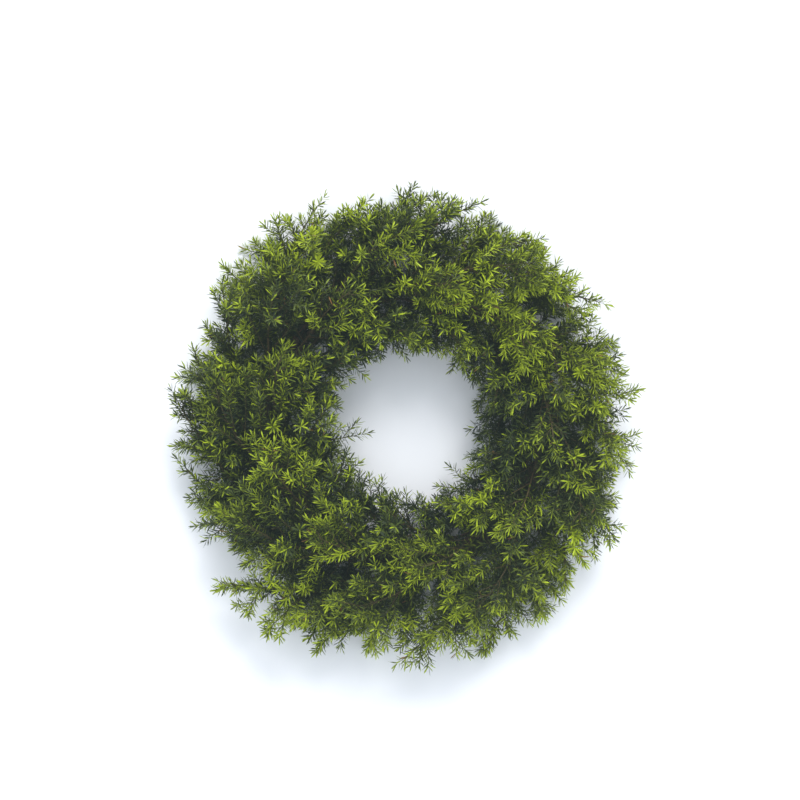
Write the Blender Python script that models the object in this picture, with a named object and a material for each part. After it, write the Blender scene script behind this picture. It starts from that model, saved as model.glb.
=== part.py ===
"""A round evergreen wreath: leafy sprigs of a short-needled conifer, bound with one long wire
to a ring of twisted vine, with a wire loop at the back to hang it by.

It lies on its back, with its front up (+Z) and its top at +Y. The origin is on the surface that
it lies on, under the middle of its outline. Sizes are in millimetres and angles in degrees,
counter-clockwise from +X as seen from the front, until an object is made in metres.
"""
import math

import bpy
import numpy as np
from mathutils import Vector

MM = 0.001
GAP = 0.35           # least clearance between two pieces
CURVE_STEPS = 16     # between two keys of a smooth path

# Vine ring: three strands twisted round one another
RING_RADIUS = 104.0  # to the middle of the bundle
RING_HEIGHT = 17.4   # of the bundle's middle above the surface
STRAND_RADII = (3.9, 3.5, 3.2)
STRAND_OFFSET = 4.7  # from the bundle's middle to a strand's middle
STRAND_TWISTS = 7
STRAND_POINTS = 77
STRAND_STARTS = (30.0, 150.0, 235.0)  # where each strand's two cut ends meet
STRAND_ENDS_APART = 1.0

# Binding wire: one helix round the vine and the sprigs' stems
WIRE_RADIUS = 0.5
WIRE_TURNS = 36
WIRE_TURN_POINTS = 9
COIL_RADIUS = 13.4   # from the bundle's middle to the wire's middle
WIRE_START = 262.0   # where its two cut ends meet, at the foot of the wreath
WIRE_ENDS_APART = 0.3  # of one turn

# Hanging loop: a wire bent round the bundle, twisted and opened to an eye
LOOP_AZIMUTH = 92.5  # where the binding wire crosses the front of the bundle
LOOP_WIRE_RADIUS = 0.6
LOOP_WRAP_RADIUS = COIL_RADIUS + WIRE_RADIUS + GAP + LOOP_WIRE_RADIUS
LOOP_WRAP_POINTS = 12
LOOP_LEG_SPREAD = 0.95  # half the distance between the middles of its two legs
LOOP_LEG_DROP = 13.4    # of the legs below the bundle's middle
# Where it turns from the wrap into a leg: how far outside the wrap, and the share of the drop
LOOP_BENDS = ((0.4, 0.35), (1.8, 0.68), (4.6, 0.92))
LOOP_TWIST_REACH = (24.0, 34.0)  # where the twisted legs start and end, from the bundle's middle
LOOP_TWIST_POINTS = 9
LOOP_EYE_RADIUS = 7.5
LOOP_EYE_REACH = LOOP_TWIST_REACH[1] + LOOP_EYE_RADIUS + 1.0
LOOP_EYE_MOUTH = 25.0   # half the angle of the eye that is open to the legs
LOOP_EYE_POINTS = 12

# Sprigs: stems lie between vine and wire, and the leafy part sweeps clockwise from them
STEM_RADIUS = 1.3
STEM_ORBIT = 10.4    # from the bundle's middle to a bound stem's middle
BOUND_LENGTH = 26.0
LEAVING_LENGTH = 5.0  # from where the stem starts to turn out to the wire's circle
CLEAR_ORBIT = COIL_RADIUS + 6.0  # where the sprig is clear of the wire and starts its sweep
BARE_LENGTH = BOUND_LENGTH + LEAVING_LENGTH + 2.0  # of stem without leaves
# Each bend of the sweep: its share of the sweep, of the way out and of the way up
SPRIG_BENDS = ((0.2, 0.0, 0.0), (0.48, 0.36, 0.42), (0.75, 0.7, 0.78))
SPRIG_POINTS = 11
SPRIG_STEPS = 6      # finer steps along a sprig, for measuring the room that it has
SPRIG_SWELL = 0.34   # share of its length by which a sprig is full
SPRIG_TAPER = 0.78   # how much thinner its tip is
THINNEST = 0.7       # share of the stem's radius that is left where room is tight

# The outline's middle, seen from the middle of the vine ring, which follows the open centre
OUTLINE_SHIFT = (-4.0, -3.0)

# Each outer sprig's tip, in the order of the stems: its azimuth and its reach from that middle
OUTER_TIPS = (
    (318, 178), (340, 173), (7, 173), (25, 178), (46, 185), (66, 182),
    (76, 183), (91, 176), (103, 186), (132, 178), (150, 177), (163, 177),
    (181, 175), (212, 185), (229, 177), (262, 180), (282, 186), (306, 174),
)

# One sprig of each row is bound at each station, and a row's two kinds take turns.
# leave_at is where on the bundle the stem lies: 0 is outward and 90 is the front.
STATIONS = len(OUTER_TIPS)
ROWS = {
    "outer": {
        "leave_at": (-18.0, 22.0),
        "tip_heights": (22.0, 46.0),
        "full_radii": (19.0, 18.0),
    },
    "front": {
        "leave_at": (64.0, 102.0),
        "sweep": 41.0,
        "reaches": (150.0, 108.0),
        "tip_heights": (66.0, 78.0),
        "full_radii": (18.0, 17.0),
    },
    "inner": {
        "leave_at": (150.0, 188.0),
        "sweep": 40.0,
        "reaches": (62.0, 61.0),
        "tip_heights": (56.0, 30.0),
        "full_radii": (17.0, 17.0),
    },
}

COLOURS = {
    "vine_bark": (0.150, 0.085, 0.045, 1.0),
    "wire_paint": (0.030, 0.060, 0.025, 1.0),
    "loop_steel": (0.080, 0.085, 0.075, 1.0),
    "outer_foliage": (0.070, 0.110, 0.030, 1.0),
    "front_foliage": (0.120, 0.190, 0.040, 1.0),
    "inner_foliage": (0.055, 0.085, 0.028, 1.0),
}


def make_material(name, roughness, metallic=0.0):
    material = bpy.data.materials.new(name)
    material.use_nodes = True
    shader = material.node_tree.nodes["Principled BSDF"]
    shader.inputs["Base Color"].default_value = COLOURS[name]
    shader.inputs["Roughness"].default_value = roughness
    shader.inputs["Metallic"].default_value = metallic
    return material


def on_ring(azimuth, out, up):
    """The place out and up of the bundle's middle, at an azimuth."""
    angle = math.radians(azimuth)
    radius = RING_RADIUS + out
    return np.array([radius * math.cos(angle), radius * math.sin(angle), RING_HEIGHT + up])


def on_bundle(azimuth, around, orbit):
    """The place at an angle around the bundle: 0 is outward and 90 is the front."""
    angle = math.radians(around)
    return on_ring(azimuth, orbit * math.cos(angle), orbit * math.sin(angle))


def degrees_along(length):
    """The angle that a length along the vine ring takes up."""
    return math.degrees(length / RING_RADIUS)


def smooth_path(keys, count):
    """Evenly spaced points on a smooth curve through the keys."""
    keys = np.array([2 * keys[0] - keys[1], *keys, 2 * keys[-1] - keys[-2]])
    fine = []
    for before, start, end, after in zip(keys, keys[1:], keys[2:], keys[3:]):
        for t in np.linspace(0, 1, CURVE_STEPS, endpoint=False):
            fine.append(
                0.5 * (2 * start + (end - before) * t
                       + (2 * before - 5 * start + 4 * end - after) * t ** 2
                       + (3 * start - before - 3 * end + after) * t ** 3)
            )
    fine.append(keys[-2])
    return resampled(np.array(fine), count)


def resampled(points, count):
    """The same path with evenly spaced points."""
    steps = np.linalg.norm(np.diff(points, axis=0), axis=1)
    along = np.concatenate([[0], np.cumsum(steps)])
    wanted = np.linspace(0, along[-1], count)
    return np.stack([np.interp(wanted, along, axis) for axis in points.T], 1)


def add_rod(name, path, radii, material, sides, closed=False):
    """A solid round rod along a path, its origin at the path's first point."""
    curve = bpy.data.curves.new(name, "CURVE")
    curve.dimensions = "3D"
    curve.bevel_depth = MM
    curve.bevel_resolution = (sides - 4) // 2
    curve.use_fill_caps = not closed
    spline = curve.splines.new("POLY")
    spline.points.add(len(path) - 1)
    for point, place, radius in zip(spline.points, path, radii):
        point.co = (*((place - path[0]) * MM), 1)
        point.radius = radius
    spline.use_cyclic_u = closed
    curve.materials.append(material)
    rod = bpy.data.objects.new(name, curve)
    rod.location = Vector(path[0] * MM)
    rod.parent = centre
    parts.objects.link(rod)
    return rod


def strand_path(number):
    """One vine strand from cut end to cut end, winding round the bundle's middle."""
    phase = 360 * number / len(STRAND_RADII)
    start = STRAND_STARTS[number]
    azimuths = np.linspace(start, start + 360 - degrees_along(STRAND_ENDS_APART), STRAND_POINTS)
    return np.array([on_bundle(a, phase + STRAND_TWISTS * a, STRAND_OFFSET) for a in azimuths])


def wire_path():
    """The binding wire from cut end to cut end."""
    turns = WIRE_TURNS - WIRE_ENDS_APART
    count = round(turns * WIRE_TURN_POINTS)
    start = WIRE_START * WIRE_TURNS
    around = start + np.linspace(0, 360 * turns, count)
    return np.array([on_bundle(a / WIRE_TURNS, a, COIL_RADIUS) for a in around])


def loop_path():
    """The hanging loop: round the bundle, out along its back, twisted, and round the eye."""
    def place(out, along, up):
        azimuth = LOOP_AZIMUTH + degrees_along(along)
        return on_ring(azimuth, out, up)

    def leg(angles, reaches):
        return [place(out, spread * math.cos(angle), low + spread * math.sin(angle))
                for angle, out in zip(np.radians(angles), reaches)]

    spread, low = LOOP_LEG_SPREAD, -LOOP_LEG_DROP
    points = []
    for share in np.linspace(0, 1, LOOP_WRAP_POINTS):
        angle = math.radians(270 * (1 - share))
        points.append(place(LOOP_WRAP_RADIUS * math.cos(angle), spread * (1 - 2 * share),
                            LOOP_WRAP_RADIUS * math.sin(angle)))
    for outside, drop_share in LOOP_BENDS:
        points.append(place(LOOP_WRAP_RADIUS + outside, -spread, low * drop_share))
    twist = np.linspace(0, 360, LOOP_TWIST_POINTS)
    reaches = np.linspace(*LOOP_TWIST_REACH, LOOP_TWIST_POINTS)
    points += leg(180 + twist, reaches)
    eye_ends = 180 + LOOP_EYE_MOUTH, 540 - LOOP_EYE_MOUTH
    for angle in np.radians(np.linspace(*eye_ends, LOOP_EYE_POINTS)):
        points.append(place(LOOP_EYE_REACH + LOOP_EYE_RADIUS * math.cos(angle),
                            LOOP_EYE_RADIUS * math.sin(angle), low))
    points += leg(twist[::-1], reaches[::-1])
    return np.array(points)


def sprig_path(row, number):
    """A sprig's middle line, from its cut end under the wire to its tip."""
    kind = number % 2
    lies_at = row["leave_at"][kind]
    # It leaves half-way between two turns of the wire.
    turn = WIRE_TURNS // STATIONS * number + 0.5
    crosses = (lies_at + 360 * turn) / WIRE_TURNS
    starts = crosses + degrees_along(BOUND_LENGTH + LEAVING_LENGTH)
    turns_out = crosses + degrees_along(LEAVING_LENGTH)
    if "reaches" in row:
        reach, sweep = row["reaches"][kind], row["sweep"]
    else:
        reach, sweep = outer_reach_and_sweep(number, crosses)
    tip_out = reach - RING_RADIUS
    tip_up = row["tip_heights"][kind] - RING_HEIGHT
    clear_out = CLEAR_ORBIT * math.cos(math.radians(lies_at))
    clear_up = CLEAR_ORBIT * math.sin(math.radians(lies_at))
    keys = [
        on_bundle(starts, lies_at, STEM_ORBIT),
        on_bundle(turns_out, lies_at, STEM_ORBIT),
        on_bundle(crosses, lies_at, COIL_RADIUS),
    ]
    for share, out_share, up_share in SPRIG_BENDS:
        out = clear_out + (tip_out - clear_out) * out_share
        up = clear_up + (tip_up - clear_up) * up_share
        keys.append(on_ring(crosses - share * sweep, out, up))
    keys.append(on_ring(crosses - sweep, tip_out, tip_up))
    return smooth_path(keys, SPRIG_POINTS)


def outer_reach_and_sweep(number, crosses):
    """How far an outer sprig's tip is from the ring's middle, and how far round it sweeps."""
    azimuth, reach = OUTER_TIPS[number]
    tip_x = OUTLINE_SHIFT[0] + reach * math.cos(math.radians(azimuth))
    tip_y = OUTLINE_SHIFT[1] + reach * math.sin(math.radians(azimuth))
    sweep = (crosses - math.degrees(math.atan2(tip_y, tip_x))) % 360
    return math.hypot(tip_x, tip_y), sweep


def wanted_radii(path, full_radius):
    """How thick a sprig is where nothing is in its way."""
    steps = np.linalg.norm(np.diff(path, axis=0), axis=1)
    along = np.concatenate([[0], np.cumsum(steps)])
    share = np.clip((along - BARE_LENGTH) / (along[-1] - BARE_LENGTH), 0, 1)
    swell = np.sin(np.clip(share / SPRIG_SWELL, 0, 1) * math.pi / 2)
    taper = 1 - SPRIG_TAPER * np.clip((share - SPRIG_SWELL) / (1 - SPRIG_SWELL), 0, 1) ** 2
    return STEM_RADIUS + (full_radius - STEM_RADIUS) * swell * taper


def finer(values):
    """The values at finer steps between the given ones."""
    coarse = np.arange(len(values))
    fine = np.linspace(0, len(values) - 1, (len(values) - 1) * SPRIG_STEPS + 1)
    if values.ndim == 1:
        return np.interp(fine, coarse, values)
    return np.stack([np.interp(fine, coarse, axis) for axis in values.T], 1)


def fitted_radii(paths, wanted, obstacles):
    """Each sprig's radii once it shares the room with its neighbours, the wires and the floor."""
    fine_paths = [finer(path) for path in paths]
    fine_wanted = [finer(radii) for radii in wanted]
    fitted = []
    for mine, (path, radii) in enumerate(zip(fine_paths, fine_wanted)):
        room = np.minimum(radii, path[:, 2])
        for other, (their_path, their_radii) in enumerate(zip(fine_paths, fine_wanted)):
            if other == mine:
                continue
            apart = np.linalg.norm(path[:, None] - their_path[None], axis=2) - GAP
            share = radii[:, None] / (radii[:, None] + their_radii[None])
            room = np.minimum(room, (apart * share).min(1))
        for their_path, their_radius in obstacles:
            apart = np.linalg.norm(path[:, None] - their_path[None], axis=2)
            room = np.minimum(room, apart.min(1) - their_radius - GAP)
        # A point is as thick as the narrowest place on the half steps beside it.
        half = SPRIG_STEPS // 2 + 1
        narrowest = [room[max(0, at - half):at + half + 1].min()
                     for at in range(0, len(room), SPRIG_STEPS)]
        fitted.append(np.maximum(narrowest, STEM_RADIUS * THINNEST))
    return fitted


def centre_on_origin():
    """Moves the wreath so that the origin is on the surface under the middle of its outline."""
    bpy.context.view_layer.update()
    depsgraph = bpy.context.evaluated_depsgraph_get()
    corners = []
    for part in parts.objects:
        if part.type != "CURVE":
            continue
        evaluated = part.evaluated_get(depsgraph)
        mesh = evaluated.to_mesh()
        corners.extend(evaluated.matrix_world @ vertex.co for vertex in mesh.vertices)
        evaluated.to_mesh_clear()
    corners = np.array(corners)
    low, high = corners.min(0), corners.max(0)
    centre.location = Vector((-(low[0] + high[0]) / 2, -(low[1] + high[1]) / 2, -low[2]))


for old in list(bpy.data.objects):
    bpy.data.objects.remove(old, do_unlink=True)

parts = bpy.data.collections.new("christmas_wreath")
bpy.context.scene.collection.children.link(parts)
centre = bpy.data.objects.new("wreath_centre", None)
parts.objects.link(centre)

# The vine ring
bark = make_material("vine_bark", 0.85)
strands = [strand_path(number) for number in range(len(STRAND_RADII))]
for number, (path, radius) in enumerate(zip(strands, STRAND_RADII), start=1):
    add_rod(f"vine_strand_{number}", path, [radius] * len(path), bark, sides=6)

# The binding wire
wire = wire_path()
wire_paint = make_material("wire_paint", 0.45, metallic=0.3)
add_rod("binding_wire", wire, [WIRE_RADIUS] * len(wire), wire_paint, sides=6)

# The hanging loop
loop = loop_path()
loop_steel = make_material("loop_steel", 0.4, metallic=0.8)
add_rod("hanging_loop", loop, [LOOP_WIRE_RADIUS] * len(loop), loop_steel, sides=6, closed=True)

# The sprigs
eye_middle = on_ring(LOOP_AZIMUTH, LOOP_EYE_REACH, -LOOP_LEG_DROP)
obstacles = [(finer(path), radius) for path, radius in zip(strands, STRAND_RADII)]
obstacles.append((finer(wire), WIRE_RADIUS))
obstacles.append((finer(loop), LOOP_WIRE_RADIUS))
obstacles.append((eye_middle[None], LOOP_EYE_RADIUS))
names, paths, wanted, foliage = [], [], [], []
for row_name, row in ROWS.items():
    leaves = make_material(f"{row_name}_foliage", 0.7)
    for number in range(STATIONS):
        names.append(f"sprig_{row_name}_{number + 1:02d}")
        paths.append(sprig_path(row, number))
        wanted.append(wanted_radii(paths[-1], row["full_radii"][number % 2]))
        foliage.append(leaves)
radii = fitted_radii(paths, wanted, obstacles)
for name, path, thickness, leaves in zip(names, paths, radii, foliage):
    add_rod(name, path, thickness, leaves, sides=8)

centre_on_origin()
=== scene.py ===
import math

import bpy
import numpy as np
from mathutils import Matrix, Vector


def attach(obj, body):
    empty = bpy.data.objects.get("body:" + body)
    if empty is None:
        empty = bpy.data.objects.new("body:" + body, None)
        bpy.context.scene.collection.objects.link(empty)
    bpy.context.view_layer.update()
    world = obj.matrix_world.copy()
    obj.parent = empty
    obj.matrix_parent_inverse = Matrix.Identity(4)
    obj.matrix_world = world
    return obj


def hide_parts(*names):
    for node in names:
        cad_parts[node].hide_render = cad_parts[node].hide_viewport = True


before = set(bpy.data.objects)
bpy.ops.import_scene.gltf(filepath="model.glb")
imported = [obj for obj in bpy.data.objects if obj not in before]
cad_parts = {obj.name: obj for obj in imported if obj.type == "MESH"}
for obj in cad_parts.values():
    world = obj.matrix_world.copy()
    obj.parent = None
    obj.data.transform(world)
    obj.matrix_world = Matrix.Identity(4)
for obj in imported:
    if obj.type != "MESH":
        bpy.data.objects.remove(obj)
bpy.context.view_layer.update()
MM = 0.001


# The view. The wreath lies on its back, and the camera hangs straight above it and looks down,
# with the wreath's top at the top of the picture.

CAMERA_LENS = 85.0      # mm
SENSOR_WIDTH = 36.0     # mm
FRAME_WIDTH = 600.0     # mm that the picture takes in at the height of the frame's plane
FRAME_PLANE = 40.0      # mm above the table, about half way up the wreath
FRAME_MIDDLE = (-1.1, 20.6)  # mm, the place on the table under the camera

bpy.ops.object.select_all(action="DESELECT")
camera_height = FRAME_PLANE + FRAME_WIDTH * CAMERA_LENS / SENSOR_WIDTH
bpy.ops.object.camera_add(
    location=(FRAME_MIDDLE[0] * MM, FRAME_MIDDLE[1] * MM, camera_height * MM),
    rotation=(0.0, 0.0, 0.0))
camera = bpy.context.object
camera.name = "camera"
camera.data.lens = CAMERA_LENS
camera.data.sensor_width = SENSOR_WIDTH
bpy.context.scene.camera = camera


# The table is a plain matt white sheet that runs out of sight on every side.

TABLE_SIZE = 40.0       # m
TABLE_WHITE = (0.88, 0.88, 0.885, 1.0)
TABLE_ROUGHNESS = 0.8
TABLE_SPECULAR = 0.2


def new_finish(name):
    """A new material, with its nodes, its links and its shader."""
    material = bpy.data.materials.new(name)
    material.use_nodes = True
    tree = material.node_tree
    return material, tree.nodes, tree.links, tree.nodes["Principled BSDF"]


bpy.ops.mesh.primitive_plane_add(size=TABLE_SIZE, location=(0.0, 0.0, 0.0))
table = bpy.context.object
table.name = "table"
table_paper, _, _, paper_shader = new_finish("table_paper")
paper_shader.inputs["Base Color"].default_value = TABLE_WHITE
paper_shader.inputs["Roughness"].default_value = TABLE_ROUGHNESS
paper_shader.inputs["Specular IOR Level"].default_value = TABLE_SPECULAR
table.data.materials.append(table_paper)


# The light is one wide soft window, high beyond the wreath's top and a little to its right, and
# the pale cool light of the room round it, which is all that reaches into the shadows.

WINDOW_ELEVATION = 42.0  # degrees
WINDOW_AZIMUTH = 77.0    # degrees, from +X
WINDOW_WIDTH = 28.0      # degrees across, as seen from the wreath
WINDOW_DISTANCE = 2.0    # m
WINDOW_POWER = 2.3
WINDOW_COLOUR = (0.98, 0.98, 1.0)
ROOM_COLOUR = (0.85, 0.915, 1.0, 1.0)
ROOM_POWER = 1.20

towards_window = Vector((
    math.cos(math.radians(WINDOW_ELEVATION)) * math.cos(math.radians(WINDOW_AZIMUTH)),
    math.cos(math.radians(WINDOW_ELEVATION)) * math.sin(math.radians(WINDOW_AZIMUTH)),
    math.sin(math.radians(WINDOW_ELEVATION))))
bpy.ops.object.light_add(type="SUN", location=towards_window * WINDOW_DISTANCE,
                         rotation=towards_window.to_track_quat("Z", "Y").to_euler())
window = bpy.context.object
window.name = "window"
window.data.energy = WINDOW_POWER
window.data.angle = math.radians(WINDOW_WIDTH)
window.data.color = WINDOW_COLOUR

room = bpy.data.worlds.new("room")
room.use_nodes = True
room.node_tree.nodes["Background"].inputs["Color"].default_value = ROOM_COLOUR
room.node_tree.nodes["Background"].inputs["Strength"].default_value = ROOM_POWER
bpy.context.scene.world = room

# The white table all round the wreath veils the darkest tones in the lens, with a cool tint.
LENS_VEIL = (0.014, 0.019, 0.020)
viewing = bpy.context.scene.view_settings
viewing.view_transform = "Standard"
viewing.use_curve_mapping = True
viewing.curve_mapping.black_level = [-veil for veil in LENS_VEIL]
viewing.curve_mapping.update()


# The wreath's base is three vines twisted into a ring, dry and grey brown, with a wrinkled and
# mottled bark. Little of it shows between the sprigs.

VINE_STRANDS = ("vine_strand_1", "vine_strand_2", "vine_strand_3")
VINE_BROWNS = ((0.0, (0.030, 0.018, 0.011)), (0.45, (0.095, 0.060, 0.038)),
               (0.75, (0.180, 0.125, 0.080)), (1.0, (0.260, 0.200, 0.140)))
BARK_PATCHES = {"Scale": 260.0, "Detail": 6.0, "Grain": 0.65}
BARK_FIBRES = {"Scale": 1500.0, "Detail": 3.0}
BARK_FIBRE_SHARE = 0.4
BARK_TONE_SPREAD = (0.32, 0.68)
BARK_RELIEF = 0.6 * MM
BARK_RELIEF_STRENGTH = 0.6
BARK_ROUGHNESS = 0.82
BARK_SPECULAR = 0.25
VINE_SMOOTHING = 2
WRINKLE_SIZE = 5.0 * MM
WRINKLE_DEPTH = 0.9 * MM
WRINKLE_FINENESS = 3
SAME_PLACE = 1e-6       # m, between two corners of the solid's triangles that are one point

# Bark, paint and zinc all weather in a fine mottling, each at its own scale.
WEATHERING_INPUTS = {"Scale": 1000.0, "Detail": 2.0, "Grain": 0.5,
                     "Smoothest": 0.4, "Roughest": 0.6, "Relief": 0.0001}
WEATHERING_OUTPUTS = {"Mottle": "NodeSocketFloat", "Roughness": "NodeSocketFloat",
                      "Normal": "NodeSocketVector"}
WEATHERING_SPREAD = (0.3, 0.7)
WEATHERING_STRENGTH = 0.5


def make_weathering():
    """The mottling of bark, paint and zinc, and the roughness and fine relief that follow it."""
    group = bpy.data.node_groups.new("weathering", "ShaderNodeTree")
    for name, usual in WEATHERING_INPUTS.items():
        socket = group.interface.new_socket(
            name=name, in_out="INPUT", socket_type="NodeSocketFloat")
        socket.default_value = usual
    for name, kind in WEATHERING_OUTPUTS.items():
        group.interface.new_socket(name=name, in_out="OUTPUT", socket_type=kind)
    nodes = group.nodes
    links = group.links
    given = nodes.new("NodeGroupInput")
    result = nodes.new("NodeGroupOutput")
    place = nodes.new("ShaderNodeTexCoord")
    mottle = nodes.new("ShaderNodeTexNoise")
    links.new(place.outputs["Object"], mottle.inputs["Vector"])
    links.new(given.outputs["Scale"], mottle.inputs["Scale"])
    links.new(given.outputs["Detail"], mottle.inputs["Detail"])
    links.new(given.outputs["Grain"], mottle.inputs["Roughness"])
    links.new(mottle.outputs["Fac"], result.inputs["Mottle"])
    spread = nodes.new("ShaderNodeMapRange")
    spread.inputs["From Min"].default_value = WEATHERING_SPREAD[0]
    spread.inputs["From Max"].default_value = WEATHERING_SPREAD[1]
    links.new(given.outputs["Smoothest"], spread.inputs["To Min"])
    links.new(given.outputs["Roughest"], spread.inputs["To Max"])
    links.new(mottle.outputs["Fac"], spread.inputs["Value"])
    links.new(spread.outputs["Result"], result.inputs["Roughness"])
    relief = nodes.new("ShaderNodeBump")
    relief.inputs["Strength"].default_value = WEATHERING_STRENGTH
    links.new(given.outputs["Relief"], relief.inputs["Distance"])
    links.new(mottle.outputs["Fac"], relief.inputs["Height"])
    links.new(relief.outputs["Normal"], result.inputs["Normal"])
    return group


weathering = make_weathering()


def weathered(nodes, values):
    """The weathering group, placed in a material with that material's own values."""
    placed = nodes.new("ShaderNodeGroup")
    placed.node_tree = weathering
    for name, value in values.items():
        placed.inputs[name].default_value = value
    return placed


def colour_steps(nodes, steps):
    """A ramp with those colours at those places."""
    ramp = nodes.new("ShaderNodeValToRGB")
    while len(ramp.color_ramp.elements) < len(steps):
        ramp.color_ramp.elements.new(0.5)
    for element, (position, colour) in zip(ramp.color_ramp.elements, steps):
        element.position = position
        element.color = (*colour, 1.0)
    return ramp


def make_vine_bark():
    material, nodes, links, shader = new_finish("vine_bark")
    patches = weathered(nodes, BARK_PATCHES)
    fibres = weathered(nodes, BARK_FIBRES)
    both = nodes.new("ShaderNodeMix")
    both.data_type = "RGBA"
    both.inputs["Factor"].default_value = BARK_FIBRE_SHARE
    links.new(patches.outputs["Mottle"], both.inputs[6])
    links.new(fibres.outputs["Mottle"], both.inputs[7])
    spread = nodes.new("ShaderNodeMapRange")
    spread.inputs["From Min"].default_value = BARK_TONE_SPREAD[0]
    spread.inputs["From Max"].default_value = BARK_TONE_SPREAD[1]
    links.new(both.outputs[2], spread.inputs["Value"])
    browns = colour_steps(nodes, VINE_BROWNS)
    links.new(spread.outputs["Result"], browns.inputs["Fac"])
    links.new(browns.outputs["Color"], shader.inputs["Base Color"])
    relief = nodes.new("ShaderNodeBump")
    relief.inputs["Strength"].default_value = BARK_RELIEF_STRENGTH
    relief.inputs["Distance"].default_value = BARK_RELIEF
    links.new(both.outputs[2], relief.inputs["Height"])
    links.new(relief.outputs["Normal"], shader.inputs["Normal"])
    shader.inputs["Roughness"].default_value = BARK_ROUGHNESS
    shader.inputs["Specular IOR Level"].default_value = BARK_SPECULAR
    return material


vine_bark = make_vine_bark()
wrinkles = bpy.data.textures.new("vine_wrinkles", type="CLOUDS")
wrinkles.noise_scale = WRINKLE_SIZE
wrinkles.noise_depth = WRINKLE_FINENESS

for node in VINE_STRANDS:
    bpy.ops.object.select_all(action="DESELECT")
    vine = bpy.data.objects.new(f"bark_{node}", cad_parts[node].data.copy())
    bpy.context.scene.collection.objects.link(vine)
    vine.select_set(True)
    bpy.context.view_layer.objects.active = vine
    bpy.ops.object.mode_set(mode="EDIT")
    bpy.ops.mesh.select_all(action="SELECT")
    bpy.ops.mesh.remove_doubles(threshold=SAME_PLACE)
    bpy.ops.mesh.tris_convert_to_quads()
    bpy.ops.object.mode_set(mode="OBJECT")
    rounding = vine.modifiers.new("rounding", "SUBSURF")
    rounding.levels = VINE_SMOOTHING
    rounding.render_levels = VINE_SMOOTHING
    bpy.ops.object.modifier_apply(modifier=rounding.name)
    bark_relief = vine.modifiers.new("bark_relief", "DISPLACE")
    bark_relief.texture = wrinkles
    bark_relief.texture_coords = "LOCAL"
    bark_relief.strength = WRINKLE_DEPTH
    bark_relief.mid_level = 0.5
    bpy.ops.object.modifier_apply(modifier=bark_relief.name)
    bpy.ops.object.shade_smooth()
    vine.data.materials.clear()
    vine.data.materials.append(vine_bark)
    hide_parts(node)
    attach(vine, "root")


# A needle is a soft flat leaf, 6 to 8 mm long, with a keel below and a blunt point. It is
# modelled once, one unit long, wide and thick, and every needle of the wreath is a copy with its
# own size, bend and colour.

BLADE_CORNERS = 5
NEEDLE_ROOT_SHARE = 0.8      # of the width that a regular five-cornered blade has there
NEEDLE_SHOULDER_LIFT = 0.08  # of its widest place, towards the tip

# Across its map runs the tone and along its map the length: the upper side fills the map's
# lower half and the paler underside the upper half.
MAP_LAYER = "OFBake"
MAP_HALF_WIDTH = 0.012       # of one needle across the map
MAP_MARGIN = 0.02            # kept free at both ends of the map's halves


def select_points(mesh, wanted):
    """In edit mode, the points that are wanted and no others are selected."""
    bpy.ops.object.mode_set(mode="EDIT")
    bpy.ops.mesh.select_mode(type="VERT")
    bpy.ops.mesh.select_all(action="DESELECT")
    bpy.ops.object.mode_set(mode="OBJECT")
    for point in mesh.vertices:
        point.select = bool(wanted(point.co))
    bpy.ops.object.mode_set(mode="EDIT")


def taken_apart(model):
    """The points and triangles of a finished model, which is then removed."""
    bpy.ops.mesh.select_all(action="SELECT")
    bpy.ops.mesh.quads_convert_to_tris()
    bpy.ops.mesh.normals_make_consistent(inside=False)
    bpy.ops.object.mode_set(mode="OBJECT")
    points = np.array([tuple(vertex.co) for vertex in model.data.vertices])
    faces = np.array([tuple(face.vertices) for face in model.data.polygons])
    bpy.data.objects.remove(model)
    return points, faces


def model_needle():
    # The blade's upper side is the base of a low five-sided pyramid, and its keel is the apex.
    bpy.ops.object.select_all(action="DESELECT")
    bpy.ops.mesh.primitive_cone_add(
        vertices=BLADE_CORNERS, radius1=0.5, radius2=0.0, depth=1.0,
        location=(0.0, -0.5, 0.0), rotation=(math.pi / 2, 0.0, 0.0))
    needle = bpy.context.object
    bpy.ops.object.transform_apply(location=True, rotation=True, scale=True)
    # The two corners at its root are drawn together and the two at its shoulders are raised.
    select_points(needle.data, lambda place: place.z < -0.3)
    bpy.ops.transform.resize(value=(NEEDLE_ROOT_SHARE, 1.0, 1.0))
    select_points(needle.data, lambda place: abs(place.x) > 0.4)
    bpy.ops.transform.translate(value=(0.0, 0.0, NEEDLE_SHOULDER_LIFT))
    points, faces = taken_apart(needle)
    # It is then made one unit long and wide, from its root up.
    points[:, 0] *= 0.5 / points[:, 0].max()
    points[:, 2] -= points[:, 2].min()
    points[:, 2] /= points[:, 2].max()
    keel = points[:, 1] < -0.5
    places = np.empty((len(faces), 3, 2))
    places[:, :, 0] = points[faces, 0] * 2 * MAP_HALF_WIDTH
    places[:, :, 1] = MAP_MARGIN + points[faces, 2] * (0.5 - 2 * MAP_MARGIN)
    places[keel[faces].any(axis=1), :, 1] += 0.5
    return points, faces, places


NEEDLE_POINTS, NEEDLE_FACES, NEEDLE_MAP = model_needle()


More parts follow.
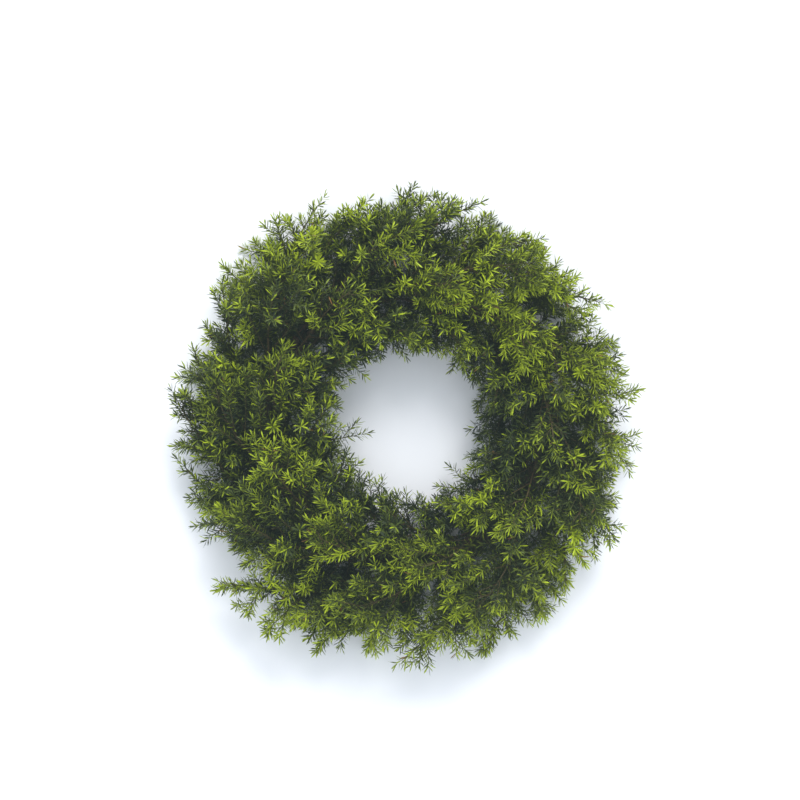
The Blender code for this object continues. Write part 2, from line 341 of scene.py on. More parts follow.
def copied_needles(sites):
    """One copy of the needle for each site, as points, triangles and map places."""
    root, along, up, length, width, thickness, bend, tone = sites
    side = np.cross(up, along)
    x, y, z = NEEDLE_POINTS.T
    length_along = length[:, None] * z
    height = thickness[:, None] * y + (bend * length)[:, None] * z ** 2
    points = (root[:, None]
              + side[:, None] * (width[:, None] * x)[:, :, None]
              + up[:, None] * height[:, :, None]
              + along[:, None] * length_along[:, :, None])
    count = len(root)
    faces = NEEDLE_FACES[None] + (np.arange(count) * len(NEEDLE_POINTS))[:, None, None]
    places = np.repeat(NEEDLE_MAP[None], count, axis=0)
    places[:, :, :, 0] += tone[:, None, None]
    return points.reshape(-1, 3), faces.reshape(-1, 3), places.reshape(-1, 3, 2)


# A twig is a round rod of wood in thin bark, with a cut end and a closed tip. It is modelled
# once for each fineness, one unit long and thick, and is copied along the middle line of every
# stem, branch and shoot. In the map it keeps to the bark's narrow band, brown low and green high.

TWIG_KINDS = {"stem": (7, 14), "branch": (4, 5), "shoot": (3, 3)}  # sides and joints
TWIG_GREENING = {"stem": (0.03, 0.45), "branch": (0.20, 0.70), "shoot": (0.40, 0.92)}
BARK_BAND = (0.005, 0.065)      # across the map
CUT_WOOD_BAND = (0.085, 0.105)
CUT_WOOD_RISE = (0.5, 0.9)      # along the map, from a cut end's middle to its edge


def model_twig(sides, joints):
    bpy.ops.object.select_all(action="DESELECT")
    bpy.ops.mesh.primitive_cylinder_add(
        vertices=sides, radius=1.0, depth=1.0, end_fill_type="TRIFAN", location=(0.0, 0.0, 0.5))
    twig = bpy.context.object
    bpy.ops.object.transform_apply(location=True, rotation=True, scale=True)
    # The far end is merged into the tip, and the rod is cut through at every joint.
    select_points(twig.data, lambda place: place.z > 0.9)
    bpy.ops.mesh.merge(type="CENTER")
    for joint in range(1, joints):
        bpy.ops.mesh.select_all(action="SELECT")
        bpy.ops.mesh.bisect(plane_co=(0.0, 0.0, joint / joints), plane_no=(0.0, 0.0, 1.0))
    points, faces = taken_apart(twig)
    out = np.hypot(points[:, 0], points[:, 1])
    on_side = out > 0.01
    circle = points[:, :2].copy()
    circle[on_side] /= out[on_side, None]
    rings = (points[:, 2] * joints).round().astype(int)
    turn = (np.arctan2(points[:, 1], points[:, 0]) / (2 * math.pi) % 1.0)[faces]
    # A face across the seam goes on past a whole turn, so that two turns fill the band.
    turn = np.where(turn.max(axis=1, keepdims=True) - turn > 0.5, turn + 1.0, turn) / 2
    return circle, rings, faces, turn


TWIGS = {kind: model_twig(*fineness) for kind, fineness in TWIG_KINDS.items()}


def unit(vectors):
    return vectors / np.linalg.norm(vectors, axis=-1, keepdims=True)


def lengths_along(path):
    steps = np.linalg.norm(np.diff(path, axis=0), axis=1)
    return np.concatenate([[0.0], np.cumsum(steps)])


def at_lengths(path, lengths):
    """The points of the path at those lengths from its start."""
    along = lengths_along(path)
    return np.stack([np.interp(lengths, along, axis) for axis in path.T], axis=1)


def frames_along(path):
    """The path's direction at each point, and two directions square to it."""
    forward = unit(np.gradient(path, axis=0))
    least = np.eye(3)[np.abs(path[-1] - path[0]).argmin()]
    first = unit(np.cross(forward, least))
    return forward, first, np.cross(forward, first)


def copied_twig(kind, path, radii):
    """The twig of that kind laid along a path, as points, triangles and map places."""
    circle, rings, faces, turn = TWIGS[kind]
    joints = TWIG_KINDS[kind][1]
    shares = np.linspace(0.0, 1.0, joints + 1)
    radii = np.interp(shares, np.linspace(0.0, 1.0, len(radii)), radii)[rings]
    path = at_lengths(path, shares * lengths_along(path)[-1])
    forward, first, second = frames_along(path)
    points = (path[rings] + first[rings] * (circle[:, :1] * radii[:, None])
              + second[rings] * (circle[:, 1:] * radii[:, None]))
    places = np.empty((len(faces), 3, 2))
    places[:, :, 0] = BARK_BAND[0] + (BARK_BAND[1] - BARK_BAND[0]) * turn
    brownest, greenest = TWIG_GREENING[kind]
    places[:, :, 1] = brownest + (greenest - brownest) * rings[faces] / joints
    cut = (rings[faces] == 0).all(axis=1)
    places[cut, :, 0] = CUT_WOOD_BAND[0] + (CUT_WOOD_BAND[1] - CUT_WOOD_BAND[0]) * turn[cut]
    from_middle = np.linalg.norm(circle[faces[cut]], axis=2)
    places[cut, :, 1] = CUT_WOOD_RISE[0] + (CUT_WOOD_RISE[1] - CUT_WOOD_RISE[0]) * from_middle
    return points, faces, places


# The foliage's colours. The young needles at the ends of the shoots are yellow green, the older
# ones a dull dark green, a few have dried to brown, and all are paler below. The twigs are brown
# and turn green towards their ends. The map alone gives the colour, so it stays with each needle.

DRY_TONE = 0.14
OLD_TONE = 0.22
YOUNG_TONE = 0.97
FOLIAGE_COLOURS = (
    (0.000, (0.078, 0.043, 0.025)),
    (0.075, (0.078, 0.043, 0.025)),
    (0.080, (0.420, 0.300, 0.150)),
    (0.110, (0.420, 0.300, 0.150)),
    (0.120, (0.250, 0.125, 0.045)),
    (0.170, (0.250, 0.125, 0.045)),
    (0.180, (0.020, 0.030, 0.020)),
    (0.400, (0.040, 0.055, 0.019)),
    (0.700, (0.099, 0.131, 0.020)),
    (1.000, (0.385, 0.478, 0.014)),
)
YOUNG_BARK = (0.075, 0.095, 0.022, 1.0)
UNDERSIDE = (0.092, 0.116, 0.030, 1.0)
UNDERSIDE_SHARE = 0.30
UNDERSIDE_EDGE = (0.49, 0.51)   # along the map
BARK_LIMIT = BARK_BAND[1] + 0.005
NEEDLE_LIMIT = DRY_TONE - MAP_HALF_WIDTH
NEEDLE_ROUGHNESS = 0.42
NEEDLE_SPECULAR = 0.18


def make_conifer_foliage():
    material, nodes, links, shader = new_finish("conifer_foliage")
    place = nodes.new("ShaderNodeUVMap")
    place.uv_map = MAP_LAYER
    parts = nodes.new("ShaderNodeSeparateXYZ")
    links.new(place.outputs["UV"], parts.inputs[0])
    tones = colour_steps(nodes, FOLIAGE_COLOURS)
    links.new(parts.outputs["X"], tones.inputs["Fac"])
    # A twig's bark turns green along its length.
    is_bark = nodes.new("ShaderNodeMath")
    is_bark.operation = "LESS_THAN"
    is_bark.inputs[1].default_value = BARK_LIMIT
    links.new(parts.outputs["X"], is_bark.inputs[0])
    greening = nodes.new("ShaderNodeMath")
    greening.operation = "MULTIPLY"
    links.new(is_bark.outputs[0], greening.inputs[0])
    links.new(parts.outputs["Y"], greening.inputs[1])
    bark = nodes.new("ShaderNodeMix")
    bark.data_type = "RGBA"
    links.new(greening.outputs[0], bark.inputs["Factor"])
    links.new(tones.outputs["Color"], bark.inputs[6])
    bark.inputs[7].default_value = YOUNG_BARK
    # A needle has a paler underside.
    is_under = nodes.new("ShaderNodeMapRange")
    is_under.inputs["From Min"].default_value = UNDERSIDE_EDGE[0]
    is_under.inputs["From Max"].default_value = UNDERSIDE_EDGE[1]
    is_under.inputs["To Max"].default_value = UNDERSIDE_SHARE
    links.new(parts.outputs["Y"], is_under.inputs["Value"])
    is_needle = nodes.new("ShaderNodeMath")
    is_needle.operation = "GREATER_THAN"
    is_needle.inputs[1].default_value = NEEDLE_LIMIT
    links.new(parts.outputs["X"], is_needle.inputs[0])
    paling = nodes.new("ShaderNodeMath")
    paling.operation = "MULTIPLY"
    links.new(is_under.outputs["Result"], paling.inputs[0])
    links.new(is_needle.outputs[0], paling.inputs[1])
    needle = nodes.new("ShaderNodeMix")
    needle.data_type = "RGBA"
    links.new(paling.outputs[0], needle.inputs["Factor"])
    links.new(bark.outputs[2], needle.inputs[6])
    needle.inputs[7].default_value = UNDERSIDE
    links.new(needle.outputs[2], shader.inputs["Base Color"])
    shader.inputs["Roughness"].default_value = NEEDLE_ROUGHNESS
    shader.inputs["Specular IOR Level"].default_value = NEEDLE_SPECULAR
    return material


conifer_foliage = make_conifer_foliage()


# A sprig grows on its solid's middle line: a woody stem, bare where it is bound, then limbs all
# round it, each with its own short shoots, and needles on all of them. The limbs lean forward,
# so that they show as pointed plumes round the rim and as stars of needles in front.

RING_MIDDLE = np.array([5.85, 3.27, 16.19]) * MM
RING_RADIUS = 104.0 * MM
STEM_WIDEST = 3.0 * MM      # between two points of a cut end
SAME_DIGITS = 6             # in metres, to which two corners that are one point agree


def middle_line(node):
    """A sprig solid's middle line from its cut end to its tip, and its radii on the way."""
    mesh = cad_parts[node].data
    points = np.empty(len(mesh.vertices) * 3)
    mesh.vertices.foreach_get("co", points)
    points = points.reshape(-1, 3)
    _, first, same = np.unique(
        points.round(SAME_DIGITS), axis=0, return_index=True, return_inverse=True)
    points = points[first]
    same = same.reshape(-1)
    beside = [set() for _ in points]
    for face in mesh.polygons:
        corners = [int(same[corner]) for corner in face.vertices]
        for corner in corners:
            beside[corner].update(corners)
    # The sprigs sweep clockwise, so the cut end is the one furthest round the other way.
    flat = points[:, :2] - RING_MIDDLE[:2]
    mean = flat.mean(axis=0)
    round_it = np.arctan2(mean[0] * flat[:, 1] - mean[1] * flat[:, 0], flat @ mean)
    end = points[round_it.argmax()]
    ring = set(np.flatnonzero(np.linalg.norm(points - end, axis=1) < STEM_WIDEST).tolist())
    seen = set()
    line, radii = [], []
    while ring:
        seen |= ring
        middle = points[sorted(ring)].mean(axis=0)
        line.append(middle)
        radii.append(np.linalg.norm(points[sorted(ring)] - middle, axis=1).mean())
        ring = set().union(*(beside[corner] for corner in ring)) - seen
    return np.array(line), np.array(radii)


def away_from_ring(points):
    """The direction from the bundle's middle line to each point."""
    flat = points[..., :2] - RING_MIDDLE[:2]
    on_line = np.empty_like(points)
    on_line[..., :2] = RING_MIDDLE[:2] + unit(flat) * RING_RADIUS
    on_line[..., 2] = RING_MIDDLE[2]
    return unit(points - on_line)


# Growth that would rise above a sprig's ceiling bends over. The ceiling is highest above the
# bundle, is rounded off towards the rim and the hole, and differs from sprig to sprig.
CEILING = 79.0 * MM
RIM_CEILING = 34.0 * MM
CEILING_REACH = 84.0 * MM   # from above the bundle to where the ceiling is the rim's
MOST_LOWERED = 16.0 * MM
BENDING_OVER = 0.3          # of its rise is left to a twig above the ceiling
TWIG_LOWEST = 1.6 * MM


def kept_inside(path, lowered):
    """The path, bent over below its sprig's ceiling and lifted off the table."""
    path = path.copy()
    aside = np.abs(np.linalg.norm(path[:, :2] - RING_MIDDLE[:2], axis=1) - RING_RADIUS)
    rounding = np.sqrt(np.clip(1.0 - (aside / CEILING_REACH) ** 2, 0.0, 1.0))
    ceiling = RIM_CEILING + (CEILING - RIM_CEILING) * rounding - lowered
    height = path[:, 2]
    path[:, 2] = np.where(height > ceiling, ceiling + (height - ceiling) * BENDING_OVER, height)
    path[:, 2] = np.maximum(path[:, 2], TWIG_LOWEST)
    return path


SIDE_STEPS = 6              # in which a limb or a shoot curves


def side_growth(start, forward, outward, around, angle, length, lean, standing, lowered):
    """The path of a shoot that leaves its parent at an angle and curves forward and outward."""
    sideways = unit(outward - forward * (outward @ forward))
    across = np.cross(forward, sideways)
    away = sideways * math.cos(around) + across * math.sin(around)
    heading = forward * math.cos(angle) + away * math.sin(angle)
    heading -= outward * max(0.0, heading @ outward) * (1.0 - standing)
    heading /= np.linalg.norm(heading)
    points = [start]
    for step in range(SIDE_STEPS):
        bent = heading + (step + 0.5) / SIDE_STEPS * (lean[0] * forward + lean[1] * outward)
        points.append(points[-1] + bent / np.linalg.norm(bent) * (length / SIDE_STEPS))
    return kept_inside(np.array(points), lowered)


def kept_behind(path, reach, inward):
    """The path, cut back where it would reach further out, or in, than its sprig's own tip."""
    reaches = np.linalg.norm(path[:, :2] - RING_MIDDLE[:2], axis=1)
    beyond = reaches < reach if inward else reaches > reach
    if not beyond.any():
        return path
    first = max(1, int(beyond.argmax()))
    kept = lengths_along(path)[first]
    return at_lengths(path, np.linspace(0.0, kept, len(path)))


def leaning_out(turn, strength):
    """The turn round the parent, drawn towards the side that faces away from the ring."""
    turn = (turn + math.pi) % (2 * math.pi) - math.pi
    return turn - strength * math.sin(turn)


# Needles stand off a twig at a wide angle, each a golden turn round it from the last. Near the
# twig's end they close up, and a few more crown it.
GOLDEN_TURN = math.pi * (3 - math.sqrt(5))
NEEDLE_SPACING = {"stem": 1.2 * MM, "branch": 0.67 * MM, "shoot": 0.66 * MM}
NEEDLE_PLACES = (0.2, 0.8)  # of the spacing, within which each may stand
FEWEST_NEEDLES = 3
CROWN_NEEDLES = 3
NEEDLE_ANGLE = 66.0         # degrees from the twig
NEEDLE_CLOSING = 14.0       # degrees less at the twig's end
CLOSING_RATE = 1.6          # how fast that fades over a needle's length from the end
NEEDLE_ANGLE_SPREAD = 6.0   # degrees
CROWN_ANGLES = (25.0, 55.0)
LAST_ANGLE = 10.0
NEEDLE_TURN_SPREAD = 0.15   # radians
NEEDLE_ROLL = 0.3           # radians
NEEDLE_LENGTHS = (0.85, 1.12)
FIRST_NEEDLE = 0.7          # of the usual length, at the twig's base
FULL_LENGTH_FROM = 4.0 * MM
NEEDLE_WIDTHS = (0.85, 1.15)
NEEDLE_THICKNESS = 0.28     # of its width
NEEDLE_BEND = (0.04, 0.07)  # of its length, and how much that varies
TONE_RISE = 1.5             # the young tone comes late along a twig
TONE_SPREAD = 0.25
FLOOR_GAP = 0.3 * MM
STEEPEST_OFF_FLOOR = 0.9    # of a needle's length that it may rise or fall
FLAT_NUDGE = 1e-6           # the nudges keep a direction from having no length
UP_NUDGE = 1e-7


def needle_sites(path, kind, bare, tones, row, draw):
    """Where the needles of one stem, branch or shoot stand, and how each is made."""
    total = lengths_along(path)[-1]
    spread = max(FEWEST_NEEDLES, int((total - bare) / (NEEDLE_SPACING[kind] * row["openness"])))
    share = np.concatenate([
        (np.arange(spread) + draw.uniform(*NEEDLE_PLACES, spread)) / spread,
        np.full(CROWN_NEEDLES, 1.0)])
    count = len(share)
    lengths = bare + (total - bare) * share
    root = at_lengths(path, lengths)
    forward, first, second = frames_along(path)
    along = lengths_along(path)
    forward, first, second = (
        unit(np.stack([np.interp(lengths, along, axis) for axis in field.T], axis=1))
        for field in (forward, first, second))
    turn = np.arange(count) * GOLDEN_TURN + draw.normal(0.0, NEEDLE_TURN_SPREAD, count)
    closing = np.exp(-(total - lengths) / row["needle_length"] * CLOSING_RATE)
    angle = NEEDLE_ANGLE - NEEDLE_CLOSING * closing + draw.normal(0.0, NEEDLE_ANGLE_SPREAD, count)
    angle[spread:] = draw.uniform(*CROWN_ANGLES, CROWN_NEEDLES)
    angle[-1] = LAST_ANGLE
    angle = np.radians(angle)
    away = first * np.cos(turn)[:, None] + second * np.sin(turn)[:, None]
    direction = forward * np.cos(angle)[:, None] + away * np.sin(angle)[:, None]
    length = row["needle_length"] * draw.uniform(*NEEDLE_LENGTHS, count)
    length *= FIRST_NEEDLE + (1.0 - FIRST_NEEDLE) * np.clip(
        (lengths - bare) / FULL_LENGTH_FROM, 0.0, 1.0)
    # A needle that would reach through the table lies along it.
    lowest = root[:, 2] + length * direction[:, 2]
    under = lowest < FLOOR_GAP
    fall = np.clip((FLOOR_GAP * 2 - root[under, 2]) / length[under],
                   -STEEPEST_OFF_FLOOR, STEEPEST_OFF_FLOOR)
    flat = unit(direction[under, :2] + FLAT_NUDGE)
    direction[under, 2] = fall
    direction[under, :2] = flat * np.sqrt(1 - fall ** 2)[:, None]
    # Its upper side faces the twig's end, more or less.
    up = forward - direction * (forward * direction).sum(axis=1, keepdims=True)
    up = unit(up + UP_NUDGE)
    up = unit(up - direction * (up * direction).sum(axis=1, keepdims=True))
    roll = draw.normal(0.0, NEEDLE_ROLL, count)[:, None]
    up = up * np.cos(roll) + np.cross(direction, up) * np.sin(roll)
    oldest, youngest = tones
    tone = oldest + (youngest - oldest) * share ** TONE_RISE + draw.normal(0.0, TONE_SPREAD, count)
    width = row["needle_width"] * draw.uniform(*NEEDLE_WIDTHS, count)
    bend = draw.normal(*NEEDLE_BEND, count)
    return root, direction, up, length, width, NEEDLE_THICKNESS * width, bend, tone


def point_on(path, share):
    """The point at that share of an evenly spaced path, and the number of the step it is on."""
    at = share * (len(path) - 1)
    step = min(int(at), len(path) - 2)
    return path[step] + (path[step + 1] - path[step]) * (at - step), step


# A stem follows its solid's middle line, ends before the solid's tip, and turns outwards there
# in the outer row. Its limbs are shorter towards its tip, and the longer ones carry shoots.
BARE_LENGTH = 23.0 * MM
STEM_STEPS = 40
STEM_RINGS = TWIG_KINDS["stem"][1] + 1
STEM_RADII = (1.3 * MM, 0.35 * MM)
BRANCH_RADII = (0.62 * MM, 0.25 * MM)
SHOOT_RADII = (0.36 * MM, 0.2 * MM)
TIP_SHORTENING = (0.75, 1.25)
TIP_BEND_LENGTH = 50.0 * MM
TIP_BENDING = (0.4, 1.2)
TIP_NEEDLES = (0.3, 0.9)    # of a needle's length, left free before the solid's tip

LIMB_GAPS = (0.75, 1.25)
LIMBLESS_TIP = 6.0 * MM
LIMB_TURN_SPREAD = 0.2      # radians
SHORTEST_LIMB = 8.0 * MM
LIMB_VIGOUR = (0.85, 1.15)  # of all the limbs of one sprig
LIMB_LENGTHS = (0.70, 1.25)
INNER_SIDE = 2.0            # radians from straight away from the ring
INNER_LIMB = 0.7            # of the usual length
WIDER_AT_BASE = 38.0        # degrees
WIDER_LENGTH = 35.0 * MM
LIMB_ANGLE_SPREAD = 8.0     # degrees
FORWARD_LEANS = (0.5, 1.5)
OUTWARD_LEANS = (0.2, 1.8)
MOST_STRAYING = 1.6
LIMB_BARE_SHARE = 0.08

LIMB_WITH_SHOOTS = 13.0 * MM
SHOOT_PLACES = (0.22, 0.86)
SHORTEST_SHOOT = 6.0 * MM
LONGEST_SHOOT = 24.0 * MM
SHOOT_SHARE = 0.55          # of what is left of its limb
SHOOT_LENGTHS = (0.7, 1.25)
SHOOT_TURNED_OUT = 0.35
SHOOT_ANGLE = (40.0, 8.0)   # degrees, and how much they vary
SHOOT_BARE_LENGTH = 1.5 * MM
SHOOT_PALER = (0.06, 0.05)
SPRIG_TONE_SPREAD = 0.10
LIMB_TONE_SPREAD = 0.07


def grown_stem(line, row, lowered, draw):
    """A stem's path, and its length."""
    shortened = row["tip_short"] * draw.uniform(*TIP_SHORTENING)
    stem = at_lengths(line, np.linspace(0.0, lengths_along(line)[-1] - shortened, STEM_STEPS))
    from_tip = lengths_along(stem)[-1] - lengths_along(stem)
    turning = np.clip(1.0 - from_tip / TIP_BEND_LENGTH, 0.0, 1.0) ** 2
    flat_out = unit(stem[:, :2] - RING_MIDDLE[:2])
    stem[:, :2] += flat_out * (row["tip_bend"] * draw.uniform(*TIP_BENDING) * turning)[:, None]
    stem = kept_inside(stem, lowered)
    if row["tip_bend"]:
        tip = np.linalg.norm(line[-1, :2] - RING_MIDDLE[:2])
        stem = kept_behind(stem, tip - row["needle_length"] * draw.uniform(*TIP_NEEDLES), False)
    total = lengths_along(stem)[-1]
    return at_lengths(stem, np.linspace(0.0, total, STEM_STEPS)), total


def grown_limb(stem, forward, outward, where, total, turn, vigour, row, lowered, draw):
    """The path of the limb that leaves the stem at that length from its cut end."""
    start, step = point_on(stem, where / total)
    length = min(row["longest"], SHORTEST_LIMB + row["widening"] * (total - where))
    length *= vigour * draw.uniform(*LIMB_LENGTHS)
    around = leaning_out(turn, row["turned_out"])
    around += row["lying"] * math.sin(2 * around)
    facing_out = max(0.0, math.cos(around))
    length *= 1.0 + row["longer_outside"] * facing_out
    if abs(around) > INNER_SIDE:
        length *= INNER_LIMB
    length = max(SHORTEST_LIMB, length)
    near_base = max(0.0, 1.0 - (where - BARE_LENGTH) / WIDER_LENGTH)
    angle = (row["limb_angle"] + row["wider_outside"] * facing_out + WIDER_AT_BASE * near_base
             + draw.normal(0.0, LIMB_ANGLE_SPREAD))
    lean = (row["lean"][0] * draw.uniform(*FORWARD_LEANS),
            row["lean"][1] * draw.uniform(*OUTWARD_LEANS))
    return side_growth(start, forward[step], outward[step], around,
                       math.radians(angle), length, lean, row["standing"], lowered)


def grown_shoots(limb, tones, row, lowered, draw):
    """The twigs and the needle sites of one limb's shoots."""
    twigs, needles = [], []
    limb_length = lengths_along(limb)[-1]
    if limb_length < LIMB_WITH_SHOOTS:
        return twigs, needles
    forward, _, _ = frames_along(limb)
    outward = away_from_ring(limb)
    paler = (tones[0] + SHOOT_PALER[0], tones[1] + SHOOT_PALER[1])
    turn = draw.uniform(0.0, 2 * math.pi)
    for place in np.arange(*SHOOT_PLACES, row["shoot_spacing"] / limb_length):
        turn += GOLDEN_TURN
        start, step = point_on(limb, place)
        length = min(LONGEST_SHOOT, SHORTEST_SHOOT + (1.0 - place) * limb_length * SHOOT_SHARE)
        length *= draw.uniform(*SHOOT_LENGTHS)
        angle = math.radians(draw.normal(*SHOOT_ANGLE))
        shoot = side_growth(start, forward[step], outward[step],
                            leaning_out(turn, SHOOT_TURNED_OUT), angle, length,
                            row["shoot_lean"], row["standing"], lowered)
        twigs.append(copied_twig("shoot", shoot, SHOOT_RADII))
        needles.append(needle_sites(shoot, "shoot", SHOOT_BARE_LENGTH, paler, row, draw))
    return twigs, needles


def grow_sprig(line, solid_radii, row, lowered, draw):
    """The twigs and the needle sites of one whole sprig."""
    stem, total = grown_stem(line, row, lowered, draw)
    forward, _, _ = frames_along(stem)
    outward = away_from_ring(stem)
    bound = np.interp(np.linspace(0, 1, STEM_RINGS), np.linspace(0, 1, len(solid_radii)),
                      solid_radii)
    twigs = [copied_twig("stem", stem, np.minimum(np.linspace(*STEM_RADII, STEM_RINGS), bound))]
    brightness = draw.normal(0.0, SPRIG_TONE_SPREAD)
    tones = (row["tones"][0] + brightness, row["tones"][1] + brightness)
    needles = [needle_sites(stem, "stem", BARE_LENGTH, tones, row, draw)]
    reach = np.linalg.norm(stem[-1, :2] - RING_MIDDLE[:2]) + row["overreach"]
    vigour = draw.uniform(*LIMB_VIGOUR)
    where = BARE_LENGTH - row["limb_spacing"]
    turn = draw.uniform(0.0, 2 * math.pi)
    while True:
        where += row["limb_spacing"] * draw.uniform(*LIMB_GAPS)
        if where > total - LIMBLESS_TIP:
            break
        turn += GOLDEN_TURN + draw.normal(0.0, LIMB_TURN_SPREAD)
        limb = grown_limb(stem, forward, outward, where, total, turn, vigour, row, lowered, draw)
        straying = np.clip(draw.normal(0.0, 1.0), -MOST_STRAYING, MOST_STRAYING) * row["straying"]
        limb = kept_behind(limb, reach + straying, row["inward"])
        twigs.append(copied_twig("branch", limb, BRANCH_RADII))
        paler = draw.normal(0.0, LIMB_TONE_SPREAD)
        limb_tones = (tones[0] + paler, tones[1] + paler)
        bare = lengths_along(limb)[-1] * LIMB_BARE_SHARE
        needles.append(needle_sites(limb, "branch", bare, limb_tones, row, draw))
        shoot_twigs, shoot_needles = grown_shoots(limb, limb_tones, row, lowered, draw)
        twigs += shoot_twigs
        needles += shoot_needles
    return twigs, [np.concatenate(column) for column in zip(*needles)]


# The outer row fans out over the rim, the front row lies along the top of the bundle, and the
# inner row lines the hole. A limb that would reach past its sprig's own tip by more than the
# overreach is cut back there, give or take the straying, so that rim and hole stay round.
ROWS = {
    "outer": {"tip_short": 24 * MM, "tip_bend": 12 * MM, "longest": 42 * MM, "widening": 0.72,
              "limb_spacing": 4.8 * MM, "limb_angle": 35.0, "turned_out": 0.5, "lying": 0.0,
              "longer_outside": 0.4, "wider_outside": 14.0, "lean": (0.15, 0.35),
              "standing": 0.9, "shoot_spacing": 8.6 * MM, "shoot_lean": (0.35, 0.1),
              "needle_length": 7.2 * MM, "needle_width": 1.18 * MM, "openness": 0.83,
              "tones": (0.60, 0.88), "inward": False, "overreach": -18 * MM,
              "straying": 10 * MM, "first_seed": 400},
    "front": {"tip_short": 6 * MM, "tip_bend": 0.0, "longest": 56 * MM, "widening": 0.80,
              "limb_spacing": 5.5 * MM, "limb_angle": 35.0, "turned_out": 0.0, "lying": 0.2,
              "longer_outside": 0.0, "wider_outside": 0.0, "lean": (0.3, 0.0),
              "standing": 0.50, "shoot_spacing": 11.6 * MM, "shoot_lean": (0.35, 0.0),
              "needle_length": 7.0 * MM, "needle_width": 1.06 * MM, "openness": 1.0,
              "tones": (0.47, 0.80), "inward": False, "overreach": 8 * MM,
              "straying": 4 * MM, "first_seed": 200},
    "inner": {"tip_short": 2 * MM, "tip_bend": 0.0, "longest": 38 * MM, "widening": 0.70,
              "limb_spacing": 5.1 * MM, "limb_angle": 38.0, "turned_out": 0.2, "lying": 0.2,
              "longer_outside": 0.0, "wider_outside": 0.0, "lean": (0.4, 0.1),
              "standing": 0.7, "shoot_spacing": 10.0 * MM, "shoot_lean": (0.35, 0.1),
              "needle_length": 6.9 * MM, "needle_width": 1.06 * MM, "openness": 1.0,
              "tones": (0.40, 0.66), "inward": True, "overreach": -1 * MM,
              "straying": 6.5 * MM, "first_seed": 300},
}
STATIONS = 18
HEIGHT_SEED = 11

sprigs = []
height_draw = np.random.default_rng(HEIGHT_SEED)
for row_name, row in ROWS.items():
    for number in range(1, STATIONS + 1):
        node = f"sprig_{row_name}_{number:02d}"
        line, radii = middle_line(node)
        draw = np.random.default_rng(row["first_seed"] + number)
        lowered = height_draw.uniform(0.0, MOST_LOWERED)
        twigs, sites = grow_sprig(line, radii, row, lowered, draw)
        sprigs.append((row_name, node, twigs, sites))


# Light makes the foliage: where little of it comes through, many needles have dropped. The same
# light darkens the needles' colour in the hollows, partly as the real dull tone of older needles
# grown in shade and partly as painted shade, and lightens the outermost ones to the palest as
# painted light. What foliage lies between a needle and the open air is counted in cubes, straight
# up and towards all sides, and their lights are averaged.

CUBE = 7.0 * MM
NEEDLE_SHADE = 0.06      # of one needle in a cube
LOOK_STEPS = 9
LOOKS = ([(0.0, 90.0)] + [(azimuth, 55.0) for azimuth in range(0, 360, 60)]
         + [(azimuth, 20.0) for azimuth in range(15, 360, 45)])
LIGHT_OF_DROP = (0.0, 0.06)
LEAST_KEPT = 0.35
# How each needle's tone follows its light: lowered in the hollows, partly real shade-grown age and
# partly painted shade, and raised at the outside as painted light.
LIGHT_OF_TONE = (0.08, 0.25, 0.45, 0.80)
AGE_AND_PAINTED_LIGHT_TONES = (-0.28, -0.13, 0.01, 0.11)
DRY_SHARE = 0.003
LIGHT_SEED = 7


def needle_lights(middles):
    """The share of the open air's light that reaches each needle."""
    low = middles.min(axis=0) - CUBE
    size = np.ceil((middles.max(axis=0) - low) / CUBE).astype(int) + 2
    cells = ((middles - low) / CUBE).astype(int)
    counts = np.zeros(size)
    np.add.at(counts, tuple(cells.T), NEEDLE_SHADE)
    light = np.zeros(len(middles))
    for azimuth, elevation in LOOKS:
        level = math.cos(math.radians(elevation))
        heading = np.array([level * math.cos(math.radians(azimuth)),
                            level * math.sin(math.radians(azimuth)),
                            math.sin(math.radians(elevation))])
        shade = np.zeros(len(middles))
        for step in range(1, LOOK_STEPS + 1):
            at = ((middles + heading * (step * CUBE) - low) / CUBE).astype(int)
            inside = ((at >= 0) & (at < size)).all(axis=1)
            shade[inside] += counts[tuple(at[inside].T)]
        light += np.exp(-shade) / len(LOOKS)
    return light


middles = np.concatenate([sites[0] + sites[1] * sites[3][:, None] / 2 for *_, sites in sprigs])
lights = needle_lights(middles)
light_draw = np.random.default_rng(LIGHT_SEED)
kept_share = np.interp(lights, LIGHT_OF_DROP, (LEAST_KEPT, 1.0))
kept = light_draw.random(len(lights)) < kept_share
# Painted shade in the hollows and painted light at the outside, together with the real darker tone
# of shade-grown needles.
age_and_painted_light_tone = np.interp(lights, LIGHT_OF_TONE, AGE_AND_PAINTED_LIGHT_TONES)
dry = light_draw.random(len(lights)) < DRY_SHARE


# Each sprig is one piece of twigs and needles, because it grew as one. It is laid against the
# bundle by its bare stem. The table presses its lowest needles up, and the ones that would stand
# above the rest are bent over, so that the wreath keeps its height.

BLADE_EDGE_ANGLE = 135.0    # degrees; a needle's two sides meet sharper, a twig's are rounded
PRESSED = 1.5 * MM          # foliage lower than this is bent up off the table
HIGHEST = 83.0 * MM
BENT_OVER = 5.0 * MM        # below the highest, from where foliage is bent over


def made_piece(name, points, faces, places, material):
    mesh = bpy.data.meshes.new(name)
    mesh.vertices.add(len(points))
    mesh.vertices.foreach_set("co", points.astype(np.float32).ravel())
    mesh.loops.add(faces.size)
    mesh.loops.foreach_set("vertex_index", faces.astype(np.int32).ravel())
    mesh.polygons.add(len(faces))
    mesh.polygons.foreach_set("loop_start", np.arange(0, faces.size, 3, dtype=np.int32))
    mesh.polygons.foreach_set("use_smooth", np.ones(len(faces), dtype=bool))
    mesh.uv_layers.new(name=MAP_LAYER)
    mesh.uv_layers[MAP_LAYER].data.foreach_set("uv", places.astype(np.float32).ravel())
    mesh.update(calc_edges=True)
    mesh.set_sharp_from_angle(angle=math.radians(BLADE_EDGE_ANGLE))
    mesh.materials.append(material)
    piece = bpy.data.objects.new(name, mesh)
    bpy.context.scene.collection.objects.link(piece)
    return piece


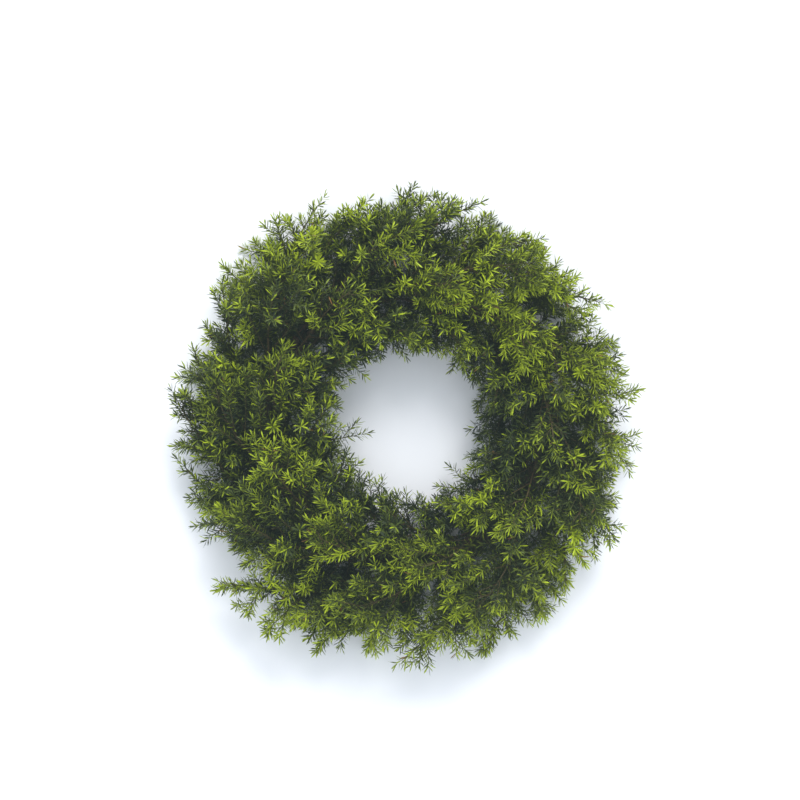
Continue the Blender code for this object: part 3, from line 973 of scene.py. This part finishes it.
needles_done = 0
for row_name, node, twigs, sites in sprigs:
    mine = slice(needles_done, needles_done + len(sites[0]))
    needles_done += len(sites[0])
    # Each needle's tone takes on the painted shade and painted light of the light that reaches it.
    tone = np.clip(sites[-1] + age_and_painted_light_tone[mine], OLD_TONE, YOUNG_TONE)
    tone[dry[mine]] = DRY_TONE
    sites[-1] = tone
    growth = twigs + [copied_needles([column[kept[mine]] for column in sites])]
    points = np.concatenate([points for points, _, _ in growth])
    pressed = points[:, 2] < PRESSED
    points[pressed, 2] = PRESSED * np.exp(points[pressed, 2] / PRESSED - 1.0)
    above = points[:, 2] > HIGHEST - BENT_OVER
    rise = (points[above, 2] - (HIGHEST - BENT_OVER)) / BENT_OVER
    points[above, 2] = HIGHEST - BENT_OVER * np.exp(-rise)
    starts = np.cumsum([0] + [len(points) for points, _, _ in growth])
    faces = np.concatenate([faces + start for (_, faces, _), start in zip(growth, starts)])
    places = np.concatenate([places for _, _, places in growth])
    piece = made_piece(f"leafy_{node}", points, faces, places, conifer_foliage)
    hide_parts(node)
    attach(piece, "root")


# A green painted florist's wire is wound round the bundle, over the sprigs' bare stems, and
# holds them to the vines. Its paint is thin and rubbed through to the steel here and there.

WIRE_GREENS = ((0.0, (0.008, 0.022, 0.011)), (0.55, (0.014, 0.040, 0.020)),
               (0.66, (0.024, 0.058, 0.030)), (0.72, (0.240, 0.235, 0.225)))
WIRE_WEAR = {"Scale": 900.0, "Detail": 4.0, "Smoothest": 0.32, "Roughest": 0.6,
             "Relief": 0.1 * MM}


def weathered_finish(name, values, steps):
    """A material whose colour, roughness and relief follow its weathering, and its shader."""
    material, nodes, links, shader = new_finish(name)
    weather = weathered(nodes, values)
    colours = colour_steps(nodes, steps)
    links.new(weather.outputs["Mottle"], colours.inputs["Fac"])
    links.new(colours.outputs["Color"], shader.inputs["Base Color"])
    links.new(weather.outputs["Roughness"], shader.inputs["Roughness"])
    links.new(weather.outputs["Normal"], shader.inputs["Normal"])
    return material, shader


def finished_with(node, material):
    """The solid is right as it is, and takes the finish in its own slots."""
    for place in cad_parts[node].material_slots:
        place.material = material


wire_paint, _ = weathered_finish("wire_paint", WIRE_WEAR, WIRE_GREENS)
finished_with("binding_wire", wire_paint)


# The hanging loop is galvanised steel wire. It is wrapped round the bundle at the wreath's top,
# outside the binding wire, and its two legs are twisted into a neck that ends in an eye beyond
# the vines, behind the foliage.

ZINC_GREYS = ((0.0, (0.300, 0.310, 0.320)), (0.5, (0.470, 0.480, 0.490)),
              (1.0, (0.640, 0.650, 0.655)))
ZINC_SPANGLE = {"Scale": 700.0, "Detail": 5.0, "Smoothest": 0.3, "Roughest": 0.55,
                "Relief": 0.08 * MM}

loop_steel, steel_shader = weathered_finish("loop_steel", ZINC_SPANGLE, ZINC_GREYS)
steel_shader.inputs["Metallic"].default_value = 1.0
finished_with("hanging_loop", loop_steel)
